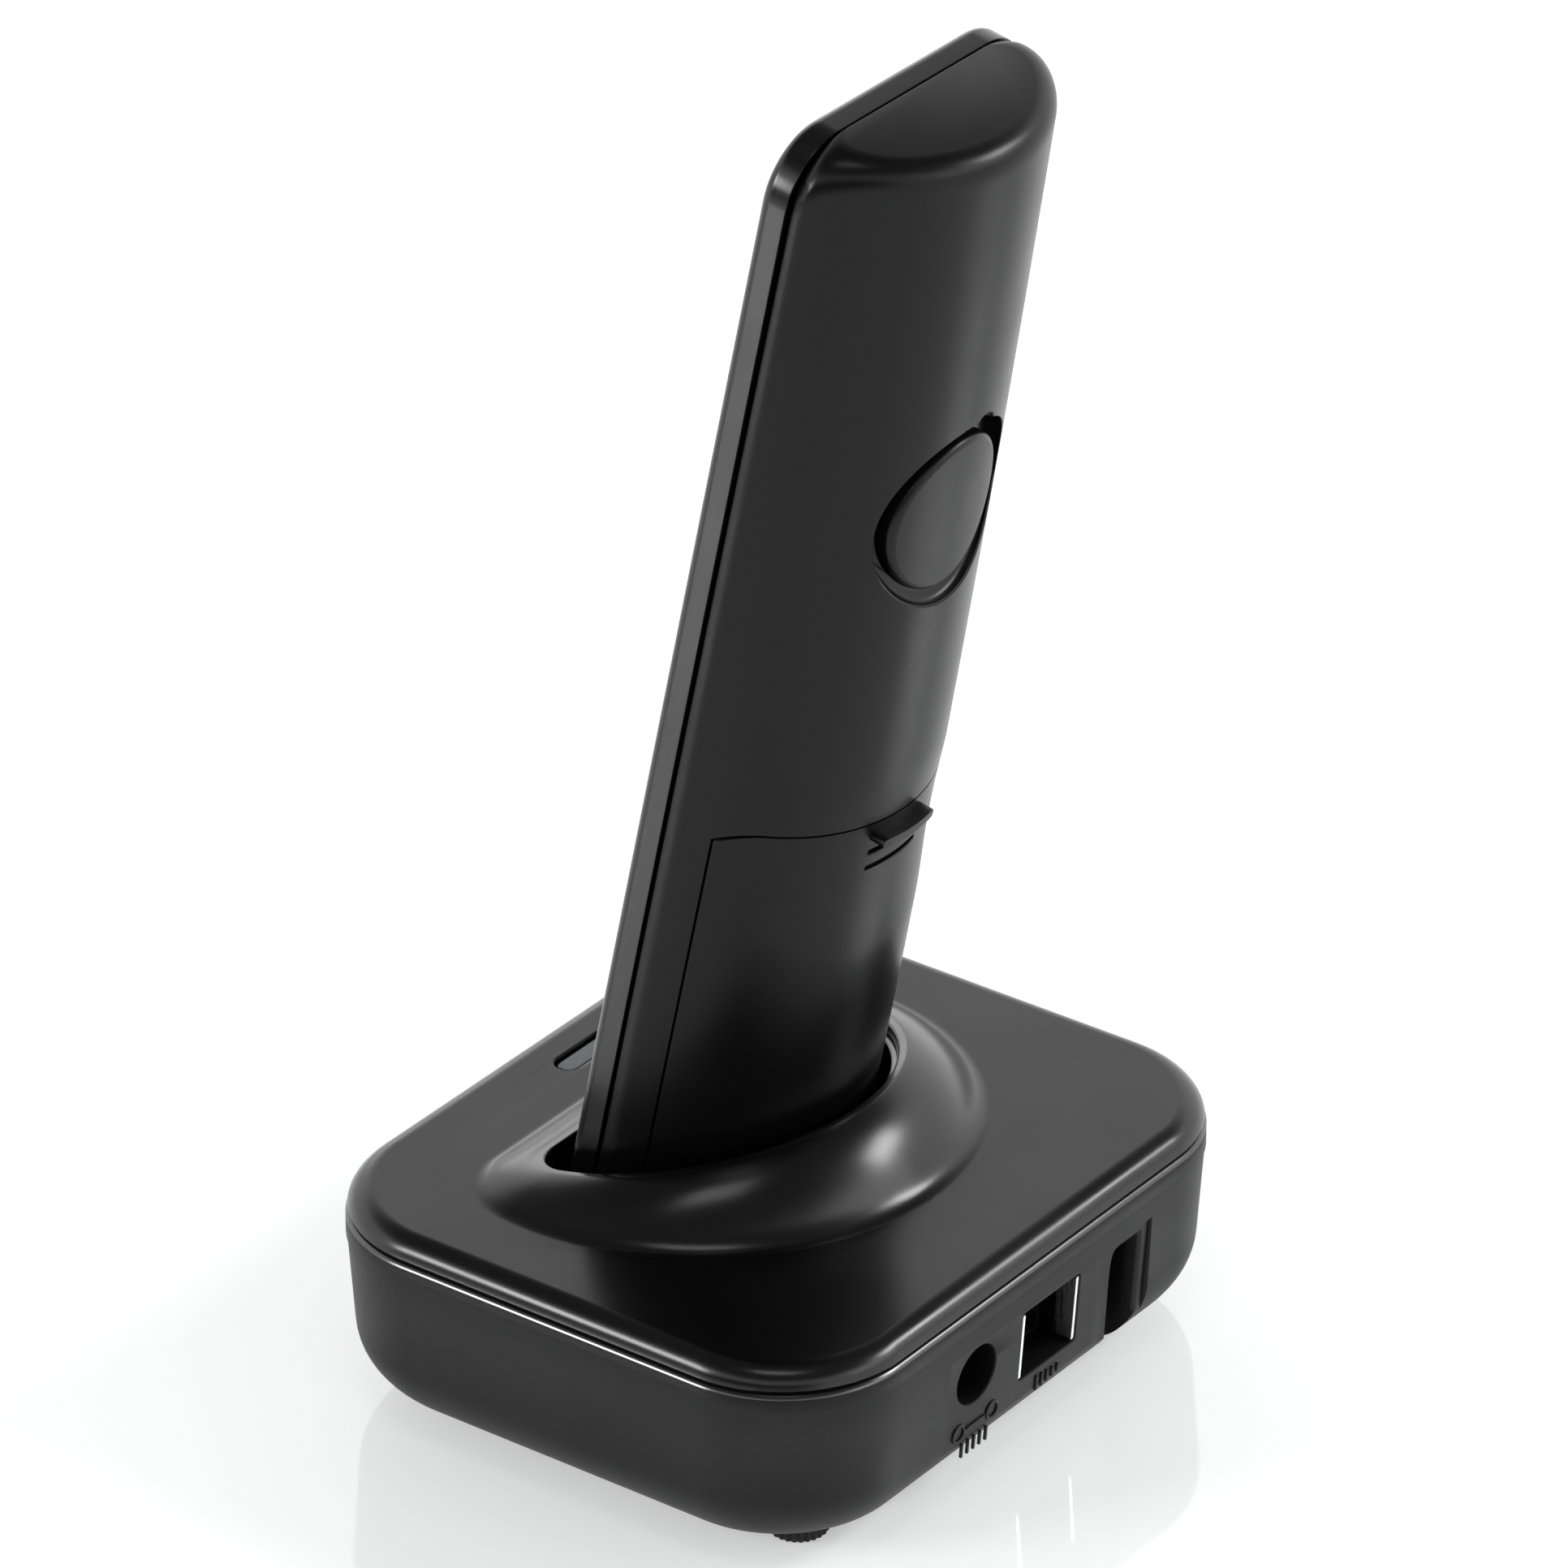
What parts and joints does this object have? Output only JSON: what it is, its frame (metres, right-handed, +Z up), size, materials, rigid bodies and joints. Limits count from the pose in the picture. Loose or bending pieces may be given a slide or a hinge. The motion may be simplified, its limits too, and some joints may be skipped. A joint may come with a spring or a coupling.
{
  "type": "cordless phone with base",
  "caption": "Slim cordless handset with a rounded back, leaning in the raised cradle of a low rounded charging base with line and power sockets in its rear.",
  "frame": {"origin": "on the table under the middle of the base", "axes": "+Z up, +Y towards the sockets in the rear, +X to the right of a user who faces the keys from -Y"},
  "size_m": [0.0972, 0.0824, 0.1839],
  "materials": {
    "case_satin": "satin",
    "case_matt": "fine matt",
    "key_plastic": "satin",
    "dark_plastic": "matt",
    "smoky_lens": "gloss",
    "display_window": "clear gloss",
    "display_panel": "satin",
    "soft_rubber": "matt",
    "circuit_board": "satin",
    "cell_wrap": "gloss",
    "steel": "brushed",
    "gold_contact": "plated"
  },
  "bodies": {
    "base": {"base_top_shell": "case_satin", "base_lower_shell": "case_matt", "cradle_cup": "case_satin", "page_switch": "dark_plastic", "base_circuit_board": "circuit_board", "line_jack": "dark_plastic", "line_jack_contacts": "gold_contact", "power_jack": "dark_plastic", "power_jack_pin": "steel", "rubber_foot_front_left": "soft_rubber", "rubber_foot_front_right": "soft_rubber", "rubber_foot_rear_left": "soft_rubber", "rubber_foot_rear_right": "soft_rubber", "base_screw_front_left": "steel", "base_screw_front_right": "steel", "base_screw_rear_left": "steel", "base_screw_rear_right": "steel"},
    "page_key": {"page_key": "smoky_lens"},
    "base_contact_left": {"base_charge_contact_left": "gold_contact"},
    "base_contact_right": {"base_charge_contact_right": "gold_contact"},
    "handset": {"handset_front_shell": "case_satin", "handset_rear_shell": "case_satin", "belt_clip_plug": "case_satin", "display_window": "display_window", "lcd_module": "display_panel", "earpiece_speaker": "dark_plastic", "microphone": "steel", "keypad_membrane": "soft_rubber", "handset_circuit_board": "circuit_board", "ringer_buzzer": "dark_plastic", "battery_tray": "case_matt", "battery_cell_left": "cell_wrap", "battery_cell_right": "cell_wrap", "battery_spring_left": "steel", "battery_spring_right": "steel", "handset_charge_contact_left": "gold_contact", "handset_charge_contact_right": "gold_contact"},
    "battery_door": {"battery_door": "case_satin"},
    "key_1": {"key_1": "key_plastic"},
    "key_2": {"key_2": "key_plastic"},
    "key_3": {"key_3": "key_plastic"},
    "key_4": {"key_4": "key_plastic"},
    "key_5": {"key_5": "key_plastic"},
    "key_6": {"key_6": "key_plastic"},
    "key_7": {"key_7": "key_plastic"},
    "key_8": {"key_8": "key_plastic"},
    "key_9": {"key_9": "key_plastic"},
    "key_star": {"key_star": "key_plastic"},
    "key_0": {"key_0": "key_plastic"},
    "key_hash": {"key_hash": "key_plastic"},
    "soft_key_left": {"soft_key_left": "key_plastic"},
    "soft_key_right": {"soft_key_right": "key_plastic"},
    "talk_key": {"talk_key": "key_plastic"},
    "end_key": {"end_key": "key_plastic"},
    "navigation_key": {"navigation_key": "key_plastic"}
  },
  "joints": [
    {"name": "handset_lift", "type": "slide", "parent": "base", "child": "handset", "axis": [0, 0.2062, 0.9785], "range_m": [0, 0.09]},
    {"name": "battery_door_slide", "type": "slide", "parent": "handset", "child": "battery_door", "axis": [0, -0.2062, -0.9785], "range_m": [0, 0.002]},
    {"name": "page_key_press", "type": "slide", "parent": "base", "child": "page_key", "axis": [0, 0, -1], "range_m": [0, 0.0008], "stiffness_N_per_m": 400},
    {"name": "base_contact_left_press", "type": "slide", "parent": "base", "child": "base_contact_left", "axis": [0, -0.2062, -0.9785], "range_m": [0, 0.001], "stiffness_N_per_m": 300},
    {"name": "base_contact_right_press", "type": "slide", "parent": "base", "child": "base_contact_right", "axis": [0, -0.2062, -0.9785], "range_m": [0, 0.001], "stiffness_N_per_m": 300},
    {"name": "key_1_press", "type": "slide", "parent": "handset", "child": "key_1", "axis": [0, 0.9785, -0.2062], "range_m": [0, 0.0008], "stiffness_N_per_m": 400},
    {"name": "key_2_press", "type": "slide", "parent": "handset", "child": "key_2", "axis": [0, 0.9785, -0.2062], "range_m": [0, 0.0008], "stiffness_N_per_m": 400},
    {"name": "key_3_press", "type": "slide", "parent": "handset", "child": "key_3", "axis": [0, 0.9785, -0.2062], "range_m": [0, 0.0008], "stiffness_N_per_m": 400},
    {"name": "key_4_press", "type": "slide", "parent": "handset", "child": "key_4", "axis": [0, 0.9785, -0.2062], "range_m": [0, 0.0008], "stiffness_N_per_m": 400},
    {"name": "key_5_press", "type": "slide", "parent": "handset", "child": "key_5", "axis": [0, 0.9785, -0.2062], "range_m": [0, 0.0008], "stiffness_N_per_m": 400},
    {"name": "key_6_press", "type": "slide", "parent": "handset", "child": "key_6", "axis": [0, 0.9785, -0.2062], "range_m": [0, 0.0008], "stiffness_N_per_m": 400},
    {"name": "key_7_press", "type": "slide", "parent": "handset", "child": "key_7", "axis": [0, 0.9785, -0.2062], "range_m": [0, 0.0008], "stiffness_N_per_m": 400},
    {"name": "key_8_press", "type": "slide", "parent": "handset", "child": "key_8", "axis": [0, 0.9785, -0.2062], "range_m": [0, 0.0008], "stiffness_N_per_m": 400},
    {"name": "key_9_press", "type": "slide", "parent": "handset", "child": "key_9", "axis": [0, 0.9785, -0.2062], "range_m": [0, 0.0008], "stiffness_N_per_m": 400},
    {"name": "key_star_press", "type": "slide", "parent": "handset", "child": "key_star", "axis": [0, 0.9785, -0.2062], "range_m": [0, 0.0008], "stiffness_N_per_m": 400},
    {"name": "key_0_press", "type": "slide", "parent": "handset", "child": "key_0", "axis": [0, 0.9785, -0.2062], "range_m": [0, 0.0008], "stiffness_N_per_m": 400},
    {"name": "key_hash_press", "type": "slide", "parent": "handset", "child": "key_hash", "axis": [0, 0.9785, -0.2062], "range_m": [0, 0.0008], "stiffness_N_per_m": 400},
    {"name": "soft_key_left_press", "type": "slide", "parent": "handset", "child": "soft_key_left", "axis": [0, 0.9785, -0.2062], "range_m": [0, 0.0008], "stiffness_N_per_m": 400},
    {"name": "soft_key_right_press", "type": "slide", "parent": "handset", "child": "soft_key_right", "axis": [0, 0.9785, -0.2062], "range_m": [0, 0.0008], "stiffness_N_per_m": 400},
    {"name": "talk_key_press", "type": "slide", "parent": "handset", "child": "talk_key", "axis": [0, 0.9785, -0.2062], "range_m": [0, 0.0008], "stiffness_N_per_m": 400},
    {"name": "end_key_press", "type": "slide", "parent": "handset", "child": "end_key", "axis": [0, 0.9785, -0.2062], "range_m": [0, 0.0008], "stiffness_N_per_m": 400},
    {"name": "navigation_key_press", "type": "slide", "parent": "handset", "child": "navigation_key", "axis": [0, 0.9785, -0.2062], "range_m": [0, 0.0008], "stiffness_N_per_m": 400}
  ]
}
